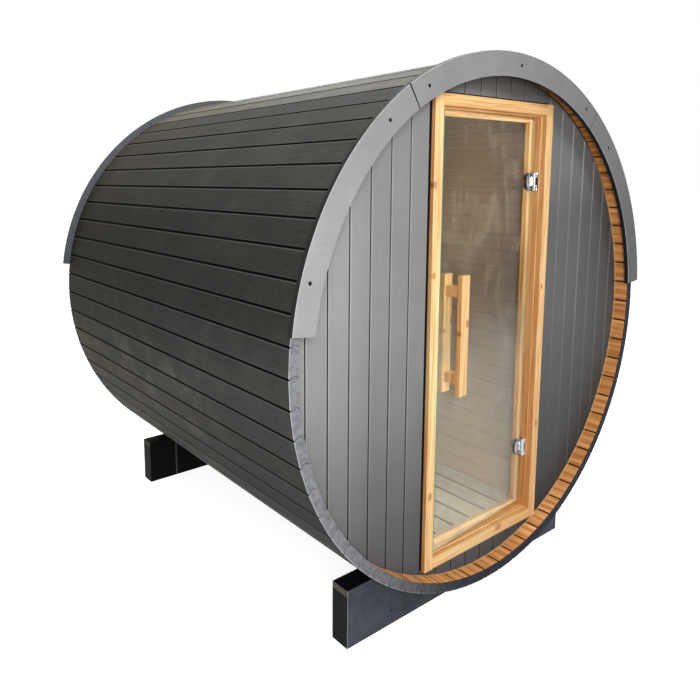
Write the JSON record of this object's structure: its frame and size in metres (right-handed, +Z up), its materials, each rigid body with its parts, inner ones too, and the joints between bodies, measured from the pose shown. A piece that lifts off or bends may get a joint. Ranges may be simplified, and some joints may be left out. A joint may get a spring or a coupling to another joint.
{
  "type": "barrel sauna",
  "caption": "Outdoor barrel sauna: dark bead-and-cove staves on two cradles, grey board end walls with round trim, and a glass door in a pine frame",
  "frame": {"origin": "on the ground under the middle of the barrel, at the bottom centre of the bounding box", "axes": "+Z up, the barrel lies along Y, the door faces -Y, +X to the right of someone facing the door"},
  "size_m": [2.0065, 1.936, 2.0839],
  "materials": {
    "stave_paint": "dark charcoal stain outside, bare inside",
    "wall_paint": "mid-grey satin paint",
    "cradle_paint": "blue-black paint",
    "pine": "clear finished pine",
    "bare_wood": "bare planed wood",
    "glass": "clear toughened glass with a green edge",
    "chrome": "bright polished"
  },
  "bodies": {
    "cabin": {"bottom_staves": "stave_paint", "lower_right_staves": "stave_paint", "right_staves": "stave_paint", "upper_right_staves": "stave_paint", "top_staves": "stave_paint", "upper_left_staves": "stave_paint", "left_staves": "stave_paint", "lower_left_staves": "stave_paint", "front_wall_left": "wall_paint", "front_wall_right": "wall_paint", "front_wall_over_door": "wall_paint", "front_wall_under_door": "wall_paint", "back_wall": "wall_paint", "front_trim_left": "wall_paint", "front_trim_top": "wall_paint", "front_trim_right": "wall_paint", "back_trim_left": "wall_paint", "back_trim_top": "wall_paint", "back_trim_right": "wall_paint", "door_jamb_left": "pine", "door_jamb_right": "pine", "door_head": "pine", "door_sill": "pine", "upper_hinge_base": "chrome", "lower_hinge_base": "chrome", "upper_hinge_pin": "chrome", "lower_hinge_pin": "chrome", "front_cradle": "cradle_paint", "back_cradle": "cradle_paint", "floor_boards": "bare_wood", "front_floor_bearer": "bare_wood", "middle_floor_bearer": "bare_wood", "back_floor_bearer": "bare_wood"},
    "door": {"door_glass": "glass", "outer_handle_bar": "pine", "inner_handle_bar": "pine", "handle_blocks": "pine", "upper_hinge_clamp": "chrome", "lower_hinge_clamp": "chrome"}
  },
  "joints": [
    {"name": "door_hinge", "type": "hinge", "parent": "cabin", "child": "door", "pos_m": [0.282, -0.877, 1.069], "axis": [0, 0, 1], "range_deg": [-4, 106]}
  ]
}
